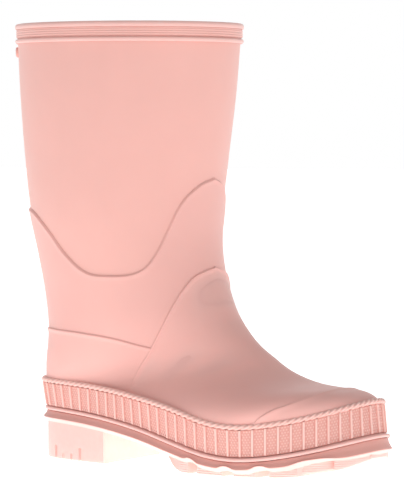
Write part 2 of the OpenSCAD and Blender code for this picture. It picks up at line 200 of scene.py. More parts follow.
def makeFloor():
    bpy.ops.object.select_all(action="DESELECT")
    bpy.ops.mesh.primitive_plane_add(size=floorSet["size"], location=(0, 0, -floorSet["drop"]))
    floor = bpy.context.object
    floor.name = "floor"
    paint, tree, shader = newFinish("paleFloor", floorSet["color"], 0.6, 0.2)
    shader.inputs["Emission Color"].default_value = (1, 1, 1, 1)
    spread = addNode(tree, "Mapping", {"Vector": addPlace(tree)}, {"Scale": [floorSet["tableScale"]] * 3})
    feeds = {"Vector": spread.outputs["Vector"]}
    pool = addNode(tree, "TexGradient", feeds, gradient_type="QUADRATIC_SPHERE")
    glow = addRange(tree, pool.outputs["Fac"], floorSet["glow"], floorSet["tableGlow"], 0, 1)
    tree.links.new(glow, shader.inputs["Emission Strength"])
    floor.data.materials.append(paint)


makeCamera()
makeLights()
makeFloor()
print("stage ready")

# Finishes

rubberSet = {
    "leg": (0.895, 0.485, 0.430),
    "panel": (0.885, 0.475, 0.425),
    "foxing": (0.915, 0.545, 0.495),
    # the foxing's rubber painted lighter: a painted highlight for the tops of ribs, knurls and rope strands
    "ribbed": (0.990, 0.820, 0.765),
    "sole": (0.920, 0.560, 0.510),
    # the sole's rubber painted lighter: a painted highlight for the flange's lip and chamfer, lit by the
    # glowing floor
    "flange": (0.970, 0.720, 0.670),
    # painted shade: what is left of the colour in the low ground, and half-way up, where shade falls between
    # ribs and knurls and on the flange's face
    "ribbedLow": ((0.82, 0.49, 0.455), (0.96, 0.78, 0.755)),
    "flangeLow": ((0.72, 0.485, 0.455), (0.90, 0.80, 0.78)),
    "mottle": 0.025,         # share by which the colour drifts over the piece
    "roughness": (0.44, 0.56),
    "grain": 0.10,           # strength of the fine moulded grain
    "specular": 0.38,
    "sheen": 0.15,
    "coat": (0.06, 0.35),    # weight and roughness
    "glowThrough": 0.12,     # share of the light that spreads under the skin
}


def addPaintedShade(tree, tint, shares):
    # painted shade: deeper colour in the low ground between ribs and knurls and on the flange's face, where
    # shade falls; points marked fully lit keep the lit base colour
    mark = addNode(tree, "Attribute", {}, attribute_name="paintedLight")
    depth = addRamp(tree, mark.outputs["Fac"], 0.15, 1.0, shares[0], (1, 1, 1))
    ridge = depth.node.color_ramp.elements.new(0.75)
    ridge.color = (*shares[1], 1)
    return addMix(tree, "MULTIPLY", tint, depth)


def rubberFinish(name, color, grain=1.0, dust=0.0, paintedShade=None):
    # matte natural rubber: soft satin, faint mottling, fine grain and a slow waviness of the skin
    finish, tree, shader = newFinish(name, color, 0.5, rubberSet["specular"], rubberSet["sheen"])
    drift = addNoise(tree, 26, 4, 0.55)
    mottle = rubberSet["mottle"]
    tint = addRamp(tree, drift, 0.3, 0.7, shade(color, 1 - mottle), shade(color, 1 + mottle))
    if dust:
        # bloom: the pale dry film that rubber gets in low places
        bloom = addNoise(tree, 340, 5, 0.65)
        tint = addMix(tree, "SCREEN", tint, addRamp(tree, bloom, 0.45, 0.75, (0, 0, 0), (dust, dust, dust)))
    # painted shade in the low ground, for pieces that carry it
    if paintedShade:
        tint = addPaintedShade(tree, tint, paintedShade)
    tree.links.new(tint, shader.inputs["Base Color"])
    polish = addRange(tree, addNoise(tree, 90, 5, 0.6), *rubberSet["roughness"])
    tree.links.new(polish, shader.inputs["Roughness"])
    wave = addBump(tree, addNoise(tree, 70, 1, 0.4), 0.10, 0.0004)
    fine = addBump(tree, addNoise(tree, 2600, 2, 0.6), rubberSet["grain"] * grain, 0.00008, wave)
    tree.links.new(fine, shader.inputs["Normal"])
    coat, coatRoughness = rubberSet["coat"]
    setSockets(shader, {"Coat Weight": coat, "Coat Roughness": coatRoughness,
                        "Subsurface Weight": rubberSet["glowThrough"],
                        "Subsurface Radius": (1.0, 0.45, 0.35), "Subsurface Scale": 0.0012})
    return finish


def wireFinish(tree, shader, tint, normal):
    tree.links.new(tint, shader.inputs["Base Color"])
    tree.links.new(normal, shader.inputs["Normal"])


knitSet = {
    "color": (0.86, 0.83, 0.79),
    "wales": 220,     # columns of stitches round the boot
    "courses": 330,   # rows of stitches from the rim to the toe
}


def knitFinish():
    # plain cotton knit that follows the piece's own map
    color = knitSet["color"]
    finish, tree, shader = newFinish("knitCotton", color, 0.92, 0.15, 0.25)
    split = addNode(tree, "SeparateXYZ", {"Vector": addPlace(tree, "UV")})
    waves = []
    for axis, count in (("X", knitSet["wales"]), ("Y", knitSet["courses"])):
        feeds, values = {0: split.outputs[axis]}, {1: count * math.pi}
        turn = addNode(tree, "Math", feeds, values, operation="MULTIPLY").outputs[0]
        waves.append(addMath(tree, "ABSOLUTE", addMath(tree, "SINE", turn)))
    loop = addMath(tree, "MULTIPLY", *waves)
    tint = addRamp(tree, loop, 0.05, 0.6, shade(color, 0.72), shade(color, 1.05))
    fluff = addBump(tree, addNoise(tree, 1800, 4, 0.7), 0.25, 0.0002)
    wireFinish(tree, shader, tint, addBump(tree, loop, 0.7, 0.0004, fluff))
    return finish


coverSet = {
    "color": (0.80, 0.77, 0.73),
    "weave": 950 / 6.28,
}


def coverFinish():
    # brushed textile over the footbed's foam
    color = coverSet["color"]
    finish, tree, shader = newFinish("footbedCover", color, 0.95, 0.12, 0.4)
    feeds = {"Vector": addPlace(tree)}
    values = {"Scale": coverSet["weave"], "Distortion": 0.6, "Detail": 1.0}
    threads = []
    for direction in ("X", "Y"):
        wave = addNode(tree, "TexWave", feeds, values, wave_type="BANDS", bands_direction=direction)
        threads.append(wave.outputs["Fac"])
    cross = addMath(tree, "MAXIMUM", *threads)
    tint = addRamp(tree, cross, 0.1, 0.9, shade(color, 0.80), shade(color, 1.04))
    nap = addBump(tree, addNoise(tree, 2200, 4, 0.7), 0.3, 0.0002)
    wireFinish(tree, shader, tint, addBump(tree, cross, 0.4, 0.0003, nap))
    return finish


def spongeFinish(name, color, scale):
    # cellular foam or cork-like filler: open pores in a soft body
    finish, tree, shader = newFinish(name, color, 0.85, 0.2)
    cells = addNode(tree, "TexVoronoi", {"Vector": addPlace(tree)}, {"Scale": scale}).outputs["Distance"]
    tint = addRamp(tree, cells, 0.1, 0.7, shade(color, 0.7), shade(color, 1.05))
    wireFinish(tree, shader, tint, addBump(tree, cells, 0.5, 0.0004))
    return finish


def fibreFinish(name, color, scale):
    # pressed fibre or stiff canvas: streaky colour and a rough nap
    finish, tree, shader = newFinish(name, color, 0.88, 0.2)
    stretch = addNode(tree, "Mapping", {"Vector": addPlace(tree)}, {"Scale": (0.25, 1.0, 1.0)})
    feeds = {"Vector": stretch.outputs["Vector"]}
    noise = addNode(tree, "TexNoise", feeds, {"Scale": scale, "Detail": 5}).outputs["Fac"]
    tint = addRamp(tree, noise, 0.3, 0.7, shade(color, 0.78), shade(color, 1.08))
    wireFinish(tree, shader, tint, addBump(tree, noise, 0.4, 0.0003))
    return finish


legRubber = rubberFinish("legRubber", rubberSet["leg"])
panelRubber = rubberFinish("panelRubber", rubberSet["panel"])
foxingRubber = rubberFinish("foxingRubber", rubberSet["foxing"], 1.4, 0.05)
# the ribbed band and the flange carry painted light: lit copies of their rubber, with painted shade in the
# low ground
ribbedRubber = rubberFinish("ribbedRubber", rubberSet["ribbed"], 0.6, 0.0, rubberSet["ribbedLow"])
flangePaintedLightRubber = rubberFinish("flangePaintedLightRubber", rubberSet["flange"], 1.4, 0.0, rubberSet["flangeLow"])
soleRubber = rubberFinish("soleRubber", rubberSet["sole"], 1.6, 0.06)
knitCotton = knitFinish()
footbedCloth = coverFinish()
print("finishes ready")

# The last: a slice for each place, from the rim (0) to the toe tip (18)
# back x, back z, front x, front z, outer half-width, inner half-width, centre y,
# widest place from back to front, roundness behind it and ahead of it
lastRows = np.array([
    (-90.6, 194.0, 16.8, 193.4, 42.6, 42.6, 0.0, 0.50, 1.00, 1.00),
    (-89.4, 165.5, 14.4, 164.5, 41.2, 41.2, 0.0, 0.50, 1.00, 1.00),
    (-87.2, 137.0, 10.8, 137.0, 39.2, 39.2, 0.0, 0.50, 1.00, 1.00),
    (-84.4, 112.0, 7.8, 112.0, 36.9, 36.9, 0.0, 0.50, 1.00, 1.00),
    (-80.0, 93.0, 7.4, 96.0, 34.4, 34.4, 0.0, 0.49, 1.00, 1.00),
    (-75.8, 74.0, 10.9, 80.0, 31.8, 31.8, 0.0, 0.48, 0.95, 1.00),
    (-73.6, 56.0, 16.6, 67.4, 30.2, 30.2, 0.0, 0.45, 0.90, 1.00),
    (-74.8, 41.0, 24.3, 58.2, 27.6, 28.0, 0.0, 0.40, 0.82, 1.00),
    (-73.2, 31.0, 31.5, 52.0, 25.2, 25.4, 0.0, 0.36, 0.74, 1.00),
    (-62.0, 26.4, 38.5, 47.3, 25.4, 25.6, 0.0, 0.33, 0.60, 1.00),
    (-42.0, 25.0, 44.8, 42.6, 28.4, 27.4, 0.0, 0.31, 0.56, 0.95),
    (-18.0, 21.8, 51.4, 39.0, 33.2, 30.4, 0.0, 0.30, 0.52, 0.90),
    (8.0, 17.2, 58.0, 36.6, 36.8, 33.6, 0.0, 0.30, 0.48, 0.85),
    (30.0, 12.6, 65.0, 35.5, 36.9, 34.4, 0.5, 0.27, 0.42, 0.80),
    (52.0, 11.8, 72.0, 34.8, 31.5, 29.7, 2.5, 0.26, 0.36, 0.78),
    (67.0, 13.8, 78.8, 33.4, 23.8, 22.3, 5.0, 0.34, 0.44, 0.76),
    (76.5, 16.8, 84.0, 30.8, 15.4, 14.2, 7.0, 0.44, 0.55, 0.80),
    (82.4, 19.8, 86.2, 27.4, 8.2, 7.8, 8.0, 0.48, 0.80, 0.90),
    (85.2, 22.6, 86.6, 24.8, 1.6, 1.6, 8.0, 0.50, 1.00, 1.00),
])
lastTip = len(lastRows) - 1

# The sole's edge from the heel round the outer side, and how the foxing stands on it along x
soleSet = {
    "outline": np.array([
        (-78.2, 0), (-75.6, -12), (-67.2, -21), (-52, -26.2), (-30, -30), (-5, -35), (20, -39.5),
        (42, -40), (61, -34), (77, -22), (88, -7), (92.2, 8), (88, 21.5), (73, 33), (50, 38.5),
        (25, 37.5), (0, 33), (-25, 29.5), (-50, 27.2), (-67, 22), (-75.6, 12.5)]),
    "base": [(-84, 23.3), (-60, 23.3), (-38, 22), (-10, 18.4), (12, 13.8), (30, 9.9), (44, 8.5), (56, 9),
             (68, 10.8), (80, 13.7), (94, 18.2)],
    "height": [(-84, 10.2), (-50, 10.4), (-10, 11.3), (12, 12.2), (40, 11.4), (70, 11.8), (94, 12.3)],
    "lean": [(-84, 1.35), (-70, 1.6), (-60, 1.75), (-50, 1.4), (-40, 0.95), (-30, 0.75), (-17, 0.95),
             (-5, 1.25), (8, 1.05), (20, 0.85), (31, 0.9), (42, 0.75), (60, 0.2), (80, -0.4), (94, -1.4)],
    "inset": [(-84, 1.0), (94, 2.3)],
}


def blendFour(a, b, c, d, f):
    # a smooth curve from b to c, a and d being the points before and after
    bend = (2 * a - 5 * b + 4 * c - d) * f ** 2 + (3 * b - 3 * c + d - a) * f ** 3
    return 0.5 * (2 * b + (c - a) * f + bend)


def alongRows(rows, place):
    i = np.clip(np.floor(place).astype(int), 0, len(rows) - 2)
    four = [rows[np.clip(i + k, 0, len(rows) - 1)] for k in (-1, 0, 1, 2)]
    return blendFour(*four, (place - i)[..., None])


def roundRing(ring, turn):
    ring = np.asarray(ring, float)
    turn = np.asarray(turn, float)
    i = np.floor(turn).astype(int)
    four = [ring[(i + k) % len(ring)] for k in (-1, 0, 1, 2)]
    return blendFour(*four, (turn - i)[..., None])


def smoothBy(pairs, x):
    # a smooth curve through (x, value) pairs
    pairs = np.asarray(pairs, float)
    x = np.asarray(x, float)
    count = len(pairs)
    i = np.clip(np.searchsorted(pairs[:, 0], x, side="right") - 1, 0, count - 2)
    step = pairs[i + 1, 0] - pairs[i, 0]
    f = np.clip((x - pairs[i, 0]) / step, 0, 1)
    before = pairs[np.clip(i - 1, 0, count - 1)]
    after = pairs[np.clip(i + 2, 0, count - 1)]
    slopeA = (pairs[i + 1, 1] - before[..., 1]) / (pairs[i + 1, 0] - before[..., 0]) * step
    slopeB = (after[..., 1] - pairs[i, 1]) / (after[..., 0] - pairs[i, 0]) * step
    return ((2 * f ** 3 - 3 * f ** 2 + 1) * pairs[i, 1] + (f ** 3 - 2 * f ** 2 + f) * slopeA
            + (3 * f ** 2 - 2 * f ** 3) * pairs[i + 1, 1] + (f ** 3 - f ** 2) * slopeB)


def slope(degrees):
    return math.tan(math.radians(degrees))


def unit(v):
    return v / np.maximum(np.linalg.norm(v, axis=-1, keepdims=True), 1e-12)


def ease(x, low, high):
    f = np.clip((x - low) / (high - low), 0, 1)
    return f * f * (3 - 2 * f)


def lastPoint(angle, place):
    row = alongRows(lastRows, place)
    c = np.cos(np.radians(angle))
    s = np.sin(np.radians(angle))
    power = np.where(c >= 0, row[..., 9], row[..., 8])
    reach = np.where(c >= 0, 1 - row[..., 7], -row[..., 7]) * np.abs(c) ** power + row[..., 7]
    width = np.where(s < 0, row[..., 4], row[..., 5])
    x = row[..., 0] + (row[..., 2] - row[..., 0]) * reach
    z = row[..., 1] + (row[..., 3] - row[..., 1]) * reach
    y = row[..., 6] + np.sign(s) * np.abs(s) ** power * width
    return np.stack([x, y, z], -1)


def lastNormal(angle, place):
    low = np.maximum(place - 0.002, 0)
    high = np.minimum(place + 0.002, lastTip - 0.02)
    down = lastPoint(angle, high) - lastPoint(angle, low)
    around = lastPoint(angle + 0.12, place) - lastPoint(angle - 0.12, place)
    return unit(np.cross(down, around))


def onLast(angle, place, out):
    # a point at this angle from the front and place along the last, lifted out from its surface
    angle, place, out = np.broadcast_arrays(angle, place, out)
    return lastPoint(angle, place) + out[..., None] * lastNormal(angle, place)


def folded(angle):
    q = np.mod(angle, 360)
    return np.where(q > 180, 360 - q, q)


def soleAt(key, x):
    return smoothBy(soleSet[key], x)


def soleEdge(turn):
    # point and outward direction on the sole's edge, turn counted in outline points from the heel
    p = roundRing(soleSet["outline"], turn)
    t = roundRing(soleSet["outline"], turn + 0.002) - roundRing(soleSet["outline"], turn - 0.002)
    return p, unit(np.stack([t[..., 1], -t[..., 0]], -1))


def besideSole(turn, out, up):
    # out from the sole's edge, up from the foxing's lower edge
    turn, out, up = np.broadcast_arrays(turn, out, up)
    p, n = soleEdge(turn)
    z = soleAt("base", p[..., 0]) + up
    return np.concatenate([p + out[..., None] * n, z[..., None]], -1)


def onFoxing(turn, out, share):
    # on the foxing band: share runs from 0 at its lower edge to 1 at its upper edge
    turn, out, share = np.broadcast_arrays(turn, out, share)
    x = roundRing(soleSet["outline"], turn)[..., 0]
    lean = soleAt("lean", x) * share
    up = soleAt("height", x) * share
    return besideSole(turn, out - soleAt("inset", x) + lean, up)


# Modelling helpers


def useOnly(piece):
    bpy.ops.object.select_all(action="DESELECT")
    piece.select_set(True)
    bpy.context.view_layer.objects.active = piece


def meshPoints(mesh):
    flat = np.empty(len(mesh.vertices) * 3)
    mesh.vertices.foreach_get("co", flat)
    return flat.reshape(-1, 3)


def bentGrid(name, table, paintedLight=None, holes=False):
    # a grid primitive with its points moved to table[row][column], closed up; the second table, row by
    # column, gives each point's painted light: low for painted shade in a pattern's low ground, high for a
    # painted highlight
    points = np.asarray(table)
    along, across = len(points) - 1, len(points[0]) - 1
    bpy.ops.object.select_all(action="DESELECT")
    bpy.ops.mesh.primitive_grid_add(x_subdivisions=across, y_subdivisions=along, size=2)
    piece = bpy.context.object
    piece.name = name
    piece.data.name = name
    flat = meshPoints(piece.data)
    column = np.rint((flat[:, 0] + 1) / 2 * across).astype(int)
    row = np.rint((flat[:, 1] + 1) / 2 * along).astype(int)
    piece.data.vertices.foreach_set("co", (points[row, column] * mm).ravel())
    if paintedLight is not None:
        markPaintedLight(piece.data, np.asarray(paintedLight)[row, column])
    piece.data.update()
    closeUp(piece, holes)
    return piece


def markPaintedLight(mesh, values):
    mark = mesh.attributes.new("paintedLight", "FLOAT", "POINT")
    mark.data.foreach_set("value", np.asarray(values, np.float32))


closeSet = {
    "merge": 0.008,    # points nearer than this become one, in millimetres
    "sliver": 0.002,
}


def closeUp(piece, holes):
    # zips the seams, fills the holes and turns the faces outwards
    useOnly(piece)
    bpy.ops.object.mode_set(mode="EDIT")
    bpy.ops.mesh.select_all(action="SELECT")
    bpy.ops.mesh.remove_doubles(threshold=closeSet["merge"] * mm)
    bpy.ops.mesh.dissolve_degenerate(threshold=closeSet["sliver"] * mm)
    if holes:
        bpy.ops.mesh.select_all(action="SELECT")
        bpy.ops.mesh.fill_holes(sides=0)
    bpy.ops.mesh.select_all(action="SELECT")
    bpy.ops.mesh.normals_make_consistent(inside=False)
    bpy.ops.object.mode_set(mode="OBJECT")


def applyAll(piece):
    useOnly(piece)
    for modifier in list(piece.modifiers):
        bpy.ops.object.modifier_apply(modifier=modifier.name)


def giveWall(piece, thickness):
    wall = piece.modifiers.new("wall", "SOLIDIFY")
    wall.thickness = thickness * mm
    wall.offset = -1
    applyAll(piece)


def softenEdges(piece, width, angle=35, segments=2):
    soft = piece.modifiers.new("soft", "BEVEL")
    soft.width = width * mm
    soft.segments = segments
    soft.limit_method = "ANGLE"
    soft.angle_limit = math.radians(angle)
    applyAll(piece)


def finishPiece(piece, finish, replaced, body="boot", angle=35):
    useOnly(piece)
    bpy.ops.object.shade_smooth_by_angle(angle=math.radians(angle))
    piece.data.materials.clear()
    piece.data.materials.append(finish)
    if body:
        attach(piece, body)
    if replaced:
        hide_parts(*replaced)
    print(piece.name, len(piece.data.polygons), "faces")


def between(first, last, count):
    # the rows that part the way from one row to another into count strips
    return [first + (last - first) * k / count for k in range(1, count)]


# Rubber sheets

legSet = {
    "columns": 144,
    "rows": 118,
    "thickness": 1.8,
    "start": 0.062,    # under the rim's bead
    "end": 17.9,
}


def makeLegSheet():
    angles = np.linspace(0, 360, legSet["columns"] + 1)
    places = np.linspace(legSet["start"], legSet["end"], legSet["rows"])
    table = [onLast(angles, p, 0.0) for p in places]
    table.append(np.repeat(table[-1][:-1].mean(0)[None], len(angles), 0))
    leg = bentGrid("legSheet", table)
    giveWall(leg, legSet["thickness"])
    finishPiece(leg, legRubber, ["leg_sheet"])


def spacedOut(outer, inner, few, many):
    # angles on both sides of the front: few of them under the foxing, many between
    edge = np.linspace(inner, outer, few)
    return np.concatenate([-edge[::-1], np.linspace(2 - inner, inner - 2, many), edge])


panelSet = {
    # upper: (angle from the front, place) along the panel's upper edge; low, high: height of its underside
    # and face over the leg sheet; round: width of the rounded edge; lip: the bead that stands up beside it
    "ankle": {
        "angles": np.linspace(0, 360, 181),
        "upper": [(0, 2.41), (15, 2.56), (28, 2.95), (40, 3.90), (50, 4.40), (60, 4.62), (75, 4.65),
                  (90, 4.54), (104, 4.05), (115, 3.50), (128, 3.12), (145, 3.00), (180, 2.96)],
        "low": 0.05, "high": 0.80, "round": 0.80, "lip": 0.22, "rows": 34},
    "heel": {
        "angles": np.linspace(61.0, 299.0, 141),
        "upper": [(55, 7.25), (62, 7.00), (77, 6.50), (97, 6.15), (120, 5.97), (140, 5.88), (180, 5.85)],
        "low": 0.45, "high": 1.08, "round": 0.80, "lip": 0.42, "rows": 34},
    "vamp": {
        "angles": spacedOut(112, 94, 7, 139),
        "upper": [(0, 4.55), (14, 4.67), (25, 4.86), (39, 5.43), (55, 6.45), (68, 7.66), (76, 8.60),
                  (84, 9.40), (100, 9.90), (120, 10.2)],
        "low": 0.55, "high": 1.20, "round": 0.70, "lip": 0.48, "rows": 84},
    "cap": {
        "angles": spacedOut(100, 92, 4, 121),
        "upper": [(0, 14.03), (17, 14.05), (32, 13.95), (47, 13.65), (56, 13.43), (67, 13.35), (77, 13.38),
                  (100, 13.5)],
        "low": 0.90, "high": 1.50, "round": 0.55, "lip": 0.26, "rows": 26},
    "corner": 63.5,     # angle at which the three lower panels meet
    "toeEnd": 16.6,     # where the vamp and the cap tuck under the foxing
    "edgeSteps": (0.0, 0.07, 0.16, 0.28, 0.42, 0.58, 0.76, 1.0, 1.35, 1.8, 2.4, 3.2),   # distances in
}


def edgeReach(angles, places, edge):
    # millimetres square to an edge for one step of place
    ahead = lastPoint(angles + 0.4, smoothBy(edge, folded(angles + 0.4)))
    behind = lastPoint(angles - 0.4, smoothBy(edge, folded(angles - 0.4)))
    run = unit(ahead - behind)
    down = (lastPoint(angles, places + 0.02) - lastPoint(angles, places - 0.02)) / 0.04
    down -= (down * run).sum(-1, keepdims=True) * run
    return np.linalg.norm(down, axis=-1)


def onUpper(angles, places, out):
    # like onLast, but pressed thin where the foxing hides it
    p = onLast(angles, places, 0.0)
    share = (p[..., 2] - soleAt("base", p[..., 0])) / soleAt("height", p[..., 0])
    return onLast(angles, places, out * (0.12 + 0.88 * ease(share, 0.8, 1.15)))


def makePanel(name, shape, lower, node):
    # a sheet on the leg from its upper edge down to lower(angle), its underside a thin gap over the leg
    angles = shape["angles"]
    start = smoothBy(shape["upper"], folded(angles))
    end = np.maximum(lower(folded(angles)), start + 0.05)
    reach = edgeReach(angles, start, shape["upper"])
    table = []
    for step in panelSet["edgeSteps"]:
        part = min(step / shape["round"], 1)
        rise = 0.5 * math.sqrt(1 - (1 - part) ** 2) + 0.5 * part * part * (3 - 2 * part)
        lip = shape["lip"] * math.exp(-((step - 0.95) / 1.0) ** 2) * part
        out = shape["low"] + (shape["high"] - shape["low"]) * rise + lip
        table.append(onUpper(angles, np.minimum(start + step / reach, end), out))
    inside = np.minimum(start + panelSet["edgeSteps"][-1] / reach, end)
    for k in range(1, shape["rows"] + 1):
        table.append(onUpper(angles, inside + (end - inside) * k / shape["rows"], shape["high"]))
    for k in range(8, -1, -1):
        table.append(onUpper(angles, start + (end - start) * k / 8, shape["low"]))
    table[-1] = table[0]
    panel = bentGrid(name, table, holes=True)
    finishPiece(panel, panelRubber, [node])


def makePanels():
    corner = panelSet["corner"]
    vampTop = panelSet["vamp"]["upper"]
    heelTop = panelSet["heel"]["upper"]

    def ankleLower(q):
        return np.where(q < corner, smoothBy(vampTop, q), smoothBy(heelTop, q)) + 0.25

    def heelLower(q):
        return np.minimum(smoothBy(vampTop, q) + 0.35, 9.9 - 1.4 * ease(q, 110, 180))

    def toeEnd(q):
        return np.full_like(q, panelSet["toeEnd"])

    makePanel("anklePanel", panelSet["ankle"], ankleLower, "ankle_panel")
    makePanel("heelPanel", panelSet["heel"], heelLower, "heel_panel")
    makePanel("vamp", panelSet["vamp"], toeEnd, "vamp")
    makePanel("toeCap", panelSet["cap"], toeEnd, "toe_cap")


makeLegSheet()
makePanels()
print("rubber sheets ready")

# Collar: closed sections of (out, down) in millimetres, carried round the rim

collarSet = {
    "columns": 200,
    "topBead": [(0.62, 2.10), (0.92, 1.60), (1.02, 0.95), (0.85, 0.30), (0.50, -0.12), (0.0, -0.35),
                (-1.3, -0.35), (-2.5, -0.30), (-2.95, 0.0), (-2.98, 0.35), (-2.7, 0.65), (0.0, 0.65),
                (0.08, 1.7)],
    "lowerBead": [(0.10, 8.35), (0.45, 8.30), (0.78, 8.00), (0.92, 7.45), (0.85, 6.95), (0.60, 6.62),
                  (0.30, 6.50), (0.05, 6.60), (-0.05, 7.3)],
    "bandTop": 1.95,
    "bandLow": 5.95,
    "bandOut": 0.38,
    "bandRidge": 0.16,
    "ridges": (3.15, 4.15, 5.15),   # the band's fine lines, down from the rim
    "ridgeHalf": 0.22,
}


def rimHoop(name, section, finish, node):
    angles = np.linspace(0, 360, collarSet["columns"] + 1)
    rim = onLast(angles, 0.0, 0.0)
    side = unit(lastNormal(angles, np.full_like(angles, 0.02))[:, :2])
    table = []
    for out, down in [*section, section[0]]:
        table.append(np.concatenate([rim[:, :2] + out * side, rim[:, 2:] - down], -1))
    hoop = bentGrid(name, table)
    finishPiece(hoop, finish, [node], angle=60)


def makeCollar():
    for name, node in (("topBead", "top_bead"), ("lowerBead", "lower_bead")):
        corners = collarSet[name]
        section = roundRing(corners, np.linspace(0, len(corners), 4 * len(corners), endpoint=False))
        rimHoop(name, [tuple(p) for p in section], foxingRubber, node)
    top, low = collarSet["bandTop"], collarSet["bandLow"]
    downs = np.linspace(top, low, 61)
    lines = sum(np.exp(-((downs - ridge) / collarSet["ridgeHalf"]) ** 2) for ridge in collarSet["ridges"])
    edge = np.minimum(downs - top, low - downs)
    outs = collarSet["bandOut"] * ease(edge, -0.1, 0.35) + collarSet["bandRidge"] * lines
    section = [(-0.05, top), *zip(outs, downs), (-0.05, low)]
    rimHoop("collarBand", section, legRubber, "collar_band")


studSet = {
    "angle": 206.0,    # on the outer side of the back
    "place": 0.485,
    "radius": 2.7,
    "proud": 1.65,
    "rim": 1.1,
    "dish": 0.35,
}


def makeStud():
    # a moulded button under the collar, dished on its face
    at = onLast(studSet["angle"], studSet["place"], 0.0) * mm
    out = lastNormal(studSet["angle"], studSet["place"])
    lie = (0, math.acos(out[2]), math.atan2(out[1], out[0]))
    bpy.ops.object.select_all(action="DESELECT")
    radius = studSet["radius"] * mm
    deep = studSet["proud"] * 2 * mm
    bpy.ops.mesh.primitive_cylinder_add(vertices=48, radius=radius, depth=deep, location=at, rotation=lie)
    stud = bpy.context.object
    stud.name = "backStud"
    bpy.ops.object.transform_apply(location=True, rotation=True, scale=True)
    for face in stud.data.polygons:
        face.select = np.dot(face.normal, out) > 0.9
    bpy.ops.object.mode_set(mode="EDIT")
    bpy.ops.mesh.select_mode(type="FACE")
    bpy.ops.mesh.inset(thickness=studSet["rim"] * mm, depth=0)
    bpy.ops.mesh.inset(thickness=studSet["dish"] * mm, depth=-studSet["dish"] * mm)
    bpy.ops.object.mode_set(mode="OBJECT")
    softenEdges(stud, 0.55, 40, 4)
    finishPiece(stud, legRubber, ["back_stud"], angle=50)


makeCollar()
makeStud()
print("collar ready")

# Foxing: rope bead, ribs and knurling

ropeSet = {
    "stations": 1080,
    "around": 16,
    "radius": 1.30,
    "strand": 0.48,    # depth of the furrow between two strands
    "pitch": 3.1,      # from strand to strand along the bead
    "strands": 3,
    "out": -0.85,      # centre of the bead from the foxing's face
    "paintedLight": (0.15, 0.38),   # painted shade in its furrows and painted highlight on its strands: how light the furrows are, and how much lighter the strands
}


def edgeLength():
    turns = np.linspace(0, len(soleSet["outline"]), 4001)
    p = besideSole(turns, -1.0, 0.0)
    steps = np.linalg.norm(np.diff(p, axis=0), axis=-1)
    return turns, np.concatenate([[0], np.cumsum(steps)])


edgeTurns, edgeRun = edgeLength()


def evenTurns(count):
    # turns spaced evenly by length round the sole
    return np.interp(np.linspace(0, edgeRun[-1], count + 1), edgeRun, edgeTurns)


def makeRope():
    turns = evenTurns(ropeSet["stations"])
    run = np.interp(turns, edgeTurns, edgeRun)
    count = round(edgeRun[-1] / ropeSet["pitch"])
    furrow, lighter = ropeSet["paintedLight"]
    table = []
    paintedLight = []
    for k in range(ropeSet["around"] + 1):
        angle = 2 * math.pi * k / ropeSet["around"]
        twist = math.pi * count * run / edgeRun[-1] - ropeSet["strands"] * angle / 2
        radius = ropeSet["radius"] - ropeSet["strand"] * (1 - np.abs(np.cos(twist)))
        p = onFoxing(turns, ropeSet["out"] + radius * math.cos(angle), 1.0)
        p[:, 2] += ropeSet["radius"] * 1.02 + radius * math.sin(angle)
        table.append(p)
        # painted highlight along each strand, painted shade in the furrows between them
        paintedLight.append(furrow + lighter * np.abs(np.cos(twist)) ** 0.5)
    rope = bentGrid("ropeWelt", table, paintedLight)
    finishPiece(rope, ribbedRubber, ["rope_welt"], angle=80)


foxingSet = {
    "ribs": 73,
    "phase": 2.2,          # millimetres from the heel to the first rib
    "ribWidth": 1.35,
    "ribProud": 1.0,       # over the sunken face
    "ribLight": 0.68,      # painted highlight on a rib's top, as a share of the painted light
    "sunk": 0.75,          # depth of the face between the ribs, from the foxing's nominal face
    "thickness": 1.6,
    "dotColumns": 3,
    "dotRows": 10,
    "dotSize": 0.90,
    "dotProud": 0.50,
    "dotFoot": 0.06,       # how far its foot is sunk in the face
    "dotMargin": 0.125,    # from a rib to the nearest row
}


def makeFoxing():
    ribs = foxingSet["ribs"]
    pitch = edgeRun[-1] / ribs
    half = foxingSet["ribWidth"] / 2
    across = np.array([-1.0, -0.92, -0.72, -0.4, 0.0, 0.4, 0.72, 0.92, 1.0]) * half
    bulge = np.sqrt(np.maximum(1 - (across / half) ** 2, 0))
    flats = np.linspace(half, pitch - half, 7)[1:-1]
    offsets = np.concatenate([across, flats])
    heights = np.concatenate([bulge, np.zeros(len(flats))])
    run = np.concatenate([offsets + k * pitch for k in range(ribs)]) + foxingSet["phase"]
    run = np.concatenate([run, [run[0] + edgeRun[-1]]])
    rib = np.concatenate([np.tile(heights, ribs), [heights[0]]])
    turns = np.interp(np.mod(run, edgeRun[-1]), edgeRun, edgeTurns)
    sunk = -foxingSet["sunk"]
    table = []
    paintedLight = []
    # outer face from its upper to its lower edge, the ribs fading just before both
    for share in (1.0, 0.985, 0.96, 0.92, 0.8, 0.6, 0.4, 0.2, 0.10, 0.06, 0.035, 0.015, 0.0):
        fade = min(1.0, math.sqrt(max(1 - (1 - min(share / 0.06, 1)) ** 2, 0)))
        turn = 0.12 if share in (0.0, 1.0) else 0.0
        table.append(onFoxing(turns, sunk - turn + foxingSet["ribProud"] * rib * fade, share))
        # painted light: the rib tops get a painted highlight, the sunken face between them painted shade
        paintedLight.append(foxingSet["ribLight"] * rib * fade)
    table.append(onFoxing(turns, -foxingSet["thickness"], 0.0))
    table.append(onFoxing(turns, -foxingSet["thickness"], 1.0))
    table.append(table[0])
    paintedLight += [rib * 0, rib * 0, paintedLight[0]]
    band = bentGrid("foxingBand", table, paintedLight)
    addKnurl(band, pitch, half)
    finishPiece(band, ribbedRubber, ["foxing_band"], angle=50)


